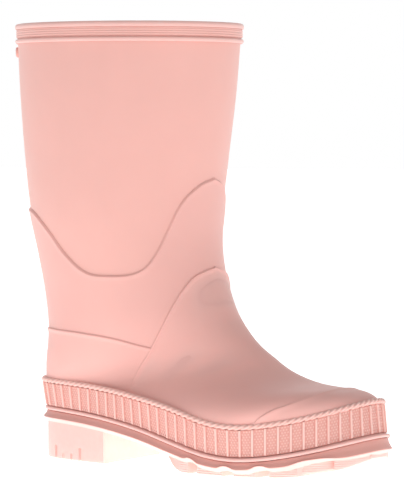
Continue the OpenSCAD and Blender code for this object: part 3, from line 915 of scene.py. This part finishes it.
def makeDot():
    # one knurl: a low eight-sided button, its foot sunk a little
    bpy.ops.object.select_all(action="DESELECT")
    bpy.ops.mesh.primitive_cone_add(vertices=8, radius1=0.5, radius2=0.40, depth=1.0)
    dot = bpy.context.object
    dot.name = "dot"
    dot.data.transform(((1, 0, 0, 0), (0, 1, 0, 0), (0, 0, 1, 0.5), (0, 0, 0, 1)))
    return dot


def addKnurl(band, pitch, half):
    dot = makeDot()
    shape = meshPoints(dot.data)
    loops = [list(face.vertices) for face in dot.data.polygons]
    columns = foxingSet["dotColumns"]
    rows = foxingSet["dotRows"]
    margin = foxingSet["dotMargin"]
    step = (pitch - 2 * half - 2 * margin) / columns
    points = []
    faces = []
    for k in range(foxingSet["ribs"]):
        for i in range(columns):
            for j in range(rows):
                # every other row is shifted by half a step
                shift = 0.25 if j % 2 else -0.25
                run = foxingSet["phase"] + k * pitch + half + margin + (i + 0.5 + shift) * step
                share = (j + 0.75) / (rows + 0.4)
                turn = np.interp(run % edgeRun[-1], edgeRun, edgeTurns)
                faces += [[v + len(points) * len(shape) for v in loop] for loop in loops]
                points.append((turn, share))
    turns = np.array([p[0] for p in points])
    shares = np.array([p[1] for p in points])
    foot = onFoxing(turns, -foxingSet["sunk"] - foxingSet["dotFoot"], shares)
    sideways = unit(onFoxing(turns + 0.01, 0.0, shares) - onFoxing(turns - 0.01, 0.0, shares))
    upward = unit(onFoxing(turns, 0.0, shares + 0.01) - onFoxing(turns, 0.0, shares - 0.01))
    out = np.cross(sideways, upward)
    size = foxingSet["dotSize"]
    proud = foxingSet["dotProud"] + foxingSet["dotFoot"]
    across, along, rise = shape[None, :, :1], shape[None, :, 1:2], shape[None, :, 2:]
    every = (foot[:, None] + across * size * sideways[:, None]
             + along * size * upward[:, None] + rise * proud * out[:, None])
    mesh = bpy.data.meshes.new("knurl")
    mesh.from_pydata((every.reshape(-1, 3) * mm).tolist(), [], faces)
    # painted light from each point's height in the dot: a painted highlight on the knurl's top, painted
    # shade at its sunk foot
    markPaintedLight(mesh, np.tile(shape[:, 2], len(points)))
    knurl = bpy.data.objects.new("knurl", mesh)
    bpy.context.scene.collection.objects.link(knurl)
    bpy.data.objects.remove(dot)
    useOnly(band)
    knurl.select_set(True)
    bpy.ops.object.join()


beadSet = {
    "stations": 420,
    "out": -1.55,      # centre of the bead from the sole's edge
    "down": 1.15,      # centre of the bead under the foxing
    "radius": 0.80,
    "back": -4.6,
    "backLow": -2.05,  # its hidden foot in the sole, down and up from the foxing's lower edge
    "backHigh": -0.1,
}


def makeEdgeBead():
    turns = evenTurns(beadSet["stations"])
    table = []
    for k in range(9):
        angle = math.pi * (0.5 - k / 8)
        out = beadSet["out"] + beadSet["radius"] * math.cos(angle) * 0.95
        table.append(besideSole(turns, out, -beadSet["down"] + beadSet["radius"] * math.sin(angle)))
    table.append(besideSole(turns, beadSet["back"], beadSet["backLow"]))
    table.append(besideSole(turns, beadSet["back"], beadSet["backHigh"]))
    table.append(table[0])
    bead = bentGrid("soleEdgeBead", table)
    finishPiece(bead, foxingRubber, ["sole_edge_bead"], angle=40)


makeRope()
makeFoxing()
makeEdgeBead()
print("foxing ready")

# Sole: pieces that run from the heel to the toe, each a closed section from the outer to the inner side

outsoleSet = {
    "stations": 170,
    "top": -2.2,
    "low": -5.2,
    "toeLow": 1.9,     # how much further down the flange reaches round the toe
    "flare": 1.7,
    "chamfer": 1.9,    # the edge under the flange that turns down and in
    # x on the outer side where the tread's channels run out, half-width, rise of the flange's edge
    "notches": ((25.0, 2.8, 1.3), (43.0, 2.8, 1.4), (57.0, 2.8, 1.4), (74.0, 6.0, 2.3)),
    "skew": 8.0,       # degrees that the channels turn from straight across
    "side": 37.0,      # how far out the sole's outer side lies there
    "tuck": 1.8,       # how far in the chamfer ends
    "lipLight": 0.55,  # painted highlight on the flange's lower edge, and on the chamfer under it, where the glowing floor lights them
    "chamferLight": 0.82,
    "under": 24,       # strips across the underside and across the top
    "over": 12,
}


def soleSides(share):
    # turns of the outer and the inner side at a share of the way from the heel to the toe
    count = len(soleSet["outline"])
    return share * count / 2, count - share * count / 2


def notchRise(points):
    x = points[..., 0] - (points[..., 1] + outsoleSet["side"]) * slope(outsoleSet["skew"])
    rise = np.zeros_like(x)
    for place, half, high in outsoleSet["notches"]:
        rise += high * np.exp(-np.abs((x - place) / half) ** 3)
    return rise


def flangeLow(x):
    return outsoleSet["low"] - outsoleSet["toeLow"] * ease(x, 60, 82)


def makeOutsole():
    share = (1 - np.cos(np.pi * np.linspace(0, 1, outsoleSet["stations"] + 1))) / 2
    share = 0.35 * share + 0.65 * np.linspace(0, 1, outsoleSet["stations"] + 1)
    outer, inner = soleSides(share)
    top, flare, chamfer = outsoleSet["top"], outsoleSet["flare"], outsoleSet["chamfer"]
    # flange face: (share of the height, out)
    face = [(0.0, -flare - 0.5), (0.04, -flare - 0.1), (0.12, -flare + 0.10), (0.3, -flare * 0.84),
            (0.5, -flare * 0.62), (0.7, -flare * 0.34), (0.86, -0.10), (0.95, 0.0), (1.0, -0.12)]

    def sideRows(turns, paintedLight):
        rows = []
        x = roundRing(soleSet["outline"], turns)[:, 0]
        for down, out in face:
            p = besideSole(turns, out, top + (flangeLow(x) - top) * down)
            p[:, 2] += notchRise(p) * down ** 2
            rows.append(p)
            # painted light: the flange's face stays in painted shade and its lower lip gets a painted
            # highlight
            paintedLight.append(outsoleSet["lipLight"] * ease(down, 0.93, 1.0) + 0 * x)
        for part in (0.25, 0.6, 1.0):
            p = besideSole(turns, face[-1][1] - outsoleSet["tuck"] * part, flangeLow(x) - chamfer * part)
            p[:, 2] += notchRise(p)
            rows.append(p)
            # painted highlight on the chamfer, which faces the glowing floor
            paintedLight.append(outsoleSet["chamferLight"] + 0 * x)
        return rows

    paintedLight = []
    table = sideRows(outer, paintedLight)
    faceB = sideRows(inner, [])
    edgeA, edgeB = table[-1], faceB[-1]
    table += between(edgeA, edgeB, outsoleSet["under"])
    table += faceB[::-1]
    topA, topB = table[0], faceB[0]
    table += between(topB, topA, outsoleSet["over"])
    table.append(table[0])
    side = list(paintedLight)
    paintedLight += [side[-1]] * (outsoleSet["under"] - 1) + side[::-1] + [side[0]] * outsoleSet["over"]
    sole = bentGrid("outsole", table, paintedLight)
    finishPiece(sole, flangePaintedLightRubber, ["outsole"], angle=32)


def sideAt(x, inset):
    # y of the outer and the inner side, inset from the sole's edge, where they pass x
    count = len(soleSet["outline"])
    reach = []
    for low, high in ((0, count / 2), (count, count / 2)):
        p, n = soleEdge(np.linspace(low, high, 1500))
        q = p - inset * n
        order = np.maximum.accumulate(q[:, 0])
        reach.append(np.interp(x, order, q[:, 1]))
    return reach


def soleBlock(stations, skew, inset, top, bottom, rows, corner, tuck):
    # a block of the sole between stations along x; tuck(x, z) sinks its sides
    slant = slope(skew)
    arc = [0.0, 0.3, 0.6, 1.0]
    table = []
    ends = []
    for side in (0, 1):
        x = np.array(stations, float)
        for _ in range(6):
            y = sideAt(x, inset)[side]
            x = np.array(stations, float) + slant * y
        ends.append((x, y))
    high = [top(x) for x, y in ends]
    low = [bottom(x) for x, y in ends]

    def sideRow(side, share, arcShare):
        x, y = ends[side]
        floorZ = low[side] + corner
        z = high[side] + (floorZ - high[side]) * share - corner * math.sin(arcShare * math.pi / 2)
        inward = corner * (1 - math.cos(arcShare * math.pi / 2)) + tuck(x, z)
        inward = np.minimum(inward, np.abs(ends[1][1] - ends[0][1]) / 2)
        y = y + inward if side == 0 else y - inward
        return np.stack([x, y, z], -1)

    for share in np.linspace(0, 1, rows):
        table.append(sideRow(0, share, 0))
    for share in arc[1:]:
        table.append(sideRow(0, 1, share))
    underA = table[-1]
    back = [sideRow(1, 1, share) for share in arc[:0:-1]]
    underB = back[0]
    table += between(underA, underB, 14)
    table += back
    for share in np.linspace(1, 0, rows):
        table.append(sideRow(1, share, 0))
    topB, topA = table[-1], table[0]
    table += between(topB, topA, 8)
    table.append(table[0])
    return table


def underSole(x):
    return soleAt("base", x) + flangeLow(x)


heelSet = {
    "back": -76.4,
    "breast": -30.0,
    "skew": 5.0,     # degrees that the breast turns from straight across
    "side": 30.0,
    "inset": 1.9,
    "grooves": [(-61.5, 6.0), (-56.4, 3.2), (-50.7, 3.2), (-45.0, 6.0)],   # place and height
    "grooveHalf": 0.75,
    "grooveDeep": 0.9,
}


def makeHeel():
    back, breast = heelSet["back"], heelSet["breast"]
    edges = [back + (breast - back) * (1 - math.cos(math.pi * k / 60 / 2)) for k in range(60)] + [breast]
    for place, _ in heelSet["grooves"]:
        for shift in (-1.2, -1.0, -0.9, 0.9, 1.0, 1.2):
            edges.append(place + shift)
    stations = np.array(sorted(set(np.round(edges, 3))))

    def tuck(x, z):
        sink = np.zeros_like(x)
        for place, height in heelSet["grooves"]:
            inside = ease(heelSet["grooveHalf"] + 0.15 - np.abs(x - place), 0, 0.2)
            sink = np.maximum(sink, inside * ease(height - z, -0.3, 0.3))
        return sink * heelSet["grooveDeep"]

    def heelTop(x):
        return underSole(x) - 0.02

    table = soleBlock(stations, 0.0, heelSet["inset"], heelTop, np.zeros_like, 34, 0.7, tuck)
    # the breast slants: its inner end is further back
    slant = slope(heelSet["skew"])
    for row in table:
        near = ease(row[:, 0], breast - 9, breast)
        row[:, 0] -= near * (row[:, 1] + heelSet["side"]) * slant
    heel = bentGrid("heelBlock", table, holes=True)
    finishPiece(heel, soleRubber, ["heel_block"], angle=38)


treadSet = {
    # start and end on the outer side, inset from the sole's edge, and how far its foot is lifted
    "lugs": [(9.0, 22.4, 1.9, 0.0), (27.6, 40.4, 1.9, 0.0), (45.6, 54.4, 1.9, 0.0), (59.6, 68.4, 1.9, 0.0),
             (67.6, 80.6, 4.2, 0.7), (79.6, 90.2, 1.6, 0.0)],
    "low": [(4, 9.6), (9, 8.2), (14, 2.2), (20, 0), (62, 0), (74, 1.2), (84, 3.8), (91, 7.8)],
    "stripePitch": 0.95,     # fine level ribs on the sides
    "stripe": 0.26,
    "toeSide": 13.0,   # how far out the outer side lies by the last lug
    "edge": 0.45,      # width of the lugs' softened edges
}


def makeTread():
    lugs = []
    skew = outsoleSet["skew"]

    def tuck(x, z):
        return treadSet["stripe"] * (0.5 + 0.5 * np.sin(2 * math.pi * z / treadSet["stripePitch"]))

    def lugTop(x):
        return underSole(x) + 1.0

    for start, end, inset, lift in treadSet["lugs"]:
        def lugLow(x):
            return np.clip(smoothBy(treadSet["low"], x) + lift, 0.0, underSole(x) - 0.4)

        last = end > 85
        shift = (treadSet["toeSide"] if last else outsoleSet["side"]) * slope(skew)
        if last:
            edges = start + shift + (end - start - shift) * np.sin(np.linspace(0, math.pi / 2, 34))
        else:
            edges = start + shift + (end - start) * np.linspace(0, 1, 16)
        table = soleBlock(edges, 0.0 if last else skew, inset, lugTop, lugLow, 44, 0.8, tuck)
        lug = bentGrid("lug", table, holes=True)
        softenEdges(lug, treadSet["edge"], 55)
        lugs.append(lug)
    useOnly(lugs[0])
    for lug in lugs[1:]:
        lug.select_set(True)
    bpy.ops.object.join()
    tread = lugs[0]
    tread.name = "forefootTread"
    finishPiece(tread, soleRubber, ["forefoot_tread"], angle=38)


makeOutsole()
makeHeel()
makeTread()
print("sole ready")

# Inside: lining and footbed

liningSet = {
    "columns": 120,
    "rows": 96,
    "under": 1.92,     # its outer face inside the boot's skin
    "thickness": 1.0,
    "end": 16.7,
    "board": 1.28,     # thickness of the insole board and of a stiffener, with the gap that each leaves
    "stiffener": 0.88,
}


def underLining(angle, place):
    # what lies under the lining besides the leg sheet: the board, and the stiffeners at heel and toe
    q = folded(angle)
    board = liningSet["board"] * ease(q, 98, 114) * ease(place, 8.7, 9.5)
    heel = ease(q, 106, 122) * ease(place, 4.9, 5.6) * (1 - ease(place, 8.7, 9.4))
    toe = (1 - ease(q, 72, 88)) * ease(place, 12.7, 13.5)
    return np.maximum(board, liningSet["stiffener"] * np.maximum(heel, toe))


def makeLining():
    angles = np.linspace(0, 360, liningSet["columns"] + 1)
    table = []
    for place in np.linspace(legSet["start"], liningSet["end"], liningSet["rows"]):
        table.append(onLast(angles, place, -liningSet["under"] - underLining(angles, place)))
    table.append(np.repeat(table[-1][:-1].mean(0)[None], len(angles), 0))
    lining = bentGrid("knitLining", table)
    giveWall(lining, liningSet["thickness"])
    finishPiece(lining, knitCotton, ["knit_lining"], angle=70)


footbedSet = {
    # x, outer y, inner y
    "edges": [(-65.2, -2, 3), (-64.0, -7.3, 8.3), (-61.3, -12.3, 12.8), (-56, -15.6, 16.2), (-46, -17.8, 18),
              (-30, -18.6, 18), (-12, -19.6, 18.4), (6, -22.6, 20.8), (24, -27.8, 25.4), (42, -27.8, 27),
              (54, -23.4, 25), (64, -15.8, 21.2), (71, -6.8, 16.4), (74.3, 2, 12)],
    "floor": 8.2,        # underside over the foxing's lower edge
    "thickness": 3.9,
    "roll": 1.3,         # radius of its upper edge
    "crown": 0.25,
    "cup": 0.35,         # the heel's shallow dish
    "seam": 0.28,        # depth of the groove along its edge
}


def makeFootbed():
    edges = np.array(footbedSet["edges"], float)
    x0, x1 = edges[0, 0], edges[-1, 0]
    x = x0 + (x1 - x0) * np.linspace(0, 1, 111)
    outer = smoothBy(edges[:, :2], x)
    inner = smoothBy(edges[:, ::2], x)
    base = soleAt("base", x) + footbedSet["floor"]
    roll = footbedSet["roll"]
    shoulder = footbedSet["thickness"] - footbedSet["crown"] - 0.1
    endFade = np.sqrt(np.clip(np.minimum(x - x0, x1 - x) / 2.0 + 0.25, 0, 1))

    def row(side, inward, up):
        y = outer + inward if side == 0 else inner - inward
        return np.stack([x, y, base + up * endFade], -1)

    table = [row(0, 0.4, 0.0), row(0, 0.08, 0.25), row(0, 0.0, 0.6)]
    for k in range(6):
        turn = math.pi / 2 * k / 5
        table.append(row(0, roll * (1 - math.cos(turn)), shoulder - roll + roll * math.sin(turn)))
    topA = row(0, roll, shoulder)
    topB = row(1, roll, shoulder)
    for k in range(1, 30):
        share = k / 30
        p = topA + (topB - topA) * share
        swell = 1 - (2 * share - 1) ** 4
        dish = np.exp(-((x + 44) / 14) ** 2) * (1 - abs(2 * share - 1) ** 3)
        seam = math.exp(-((min(share, 1 - share) - 0.09) / 0.018) ** 2)
        lift = footbedSet["crown"] * swell + 0.1 - footbedSet["cup"] * dish - footbedSet["seam"] * seam
        p[:, 2] += lift * endFade
        table.append(p)
    for k in range(5, -1, -1):
        turn = math.pi / 2 * k / 5
        table.append(row(1, roll * (1 - math.cos(turn)), shoulder - roll + roll * math.sin(turn)))
    table += [row(1, 0.0, 0.6), row(1, 0.08, 0.25), row(1, 0.4, 0.0)]
    lowB, lowA = table[-1], table[0]
    table += between(lowB, lowA, 10)
    table.append(table[0])
    bed = bentGrid("footbed", table, holes=True)
    finishPiece(bed, footbedCloth, None, body=None, angle=60)
    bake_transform(bed)
    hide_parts("footbed_foam_front", "footbed_cover_front", "footbed_foam_heel", "footbed_cover_heel")


makeLining()
makeFootbed()
print("inside ready")

# Layers that the outside hides keep their solids and get their own stuff

hiddenSet = {
    "insole_board": fibreFinish("fibreBoard", (0.36, 0.25, 0.15), 420),
    "heel_stiffener": fibreFinish("stiffCanvas", (0.62, 0.58, 0.50), 900),
    "toe_stiffener": fibreFinish("toeCanvas", (0.60, 0.56, 0.48), 900),
    "midsole_filler": spongeFinish("spongeFiller", (0.70, 0.55, 0.40), 700),
    "heel_core": spongeFinish("spongeCore", (0.66, 0.52, 0.38), 600),
}
for nodeName, finish in hiddenSet.items():
    nodes[nodeName].data.materials.clear()
    nodes[nodeName].data.materials.append(finish)
print("hidden layers ready")
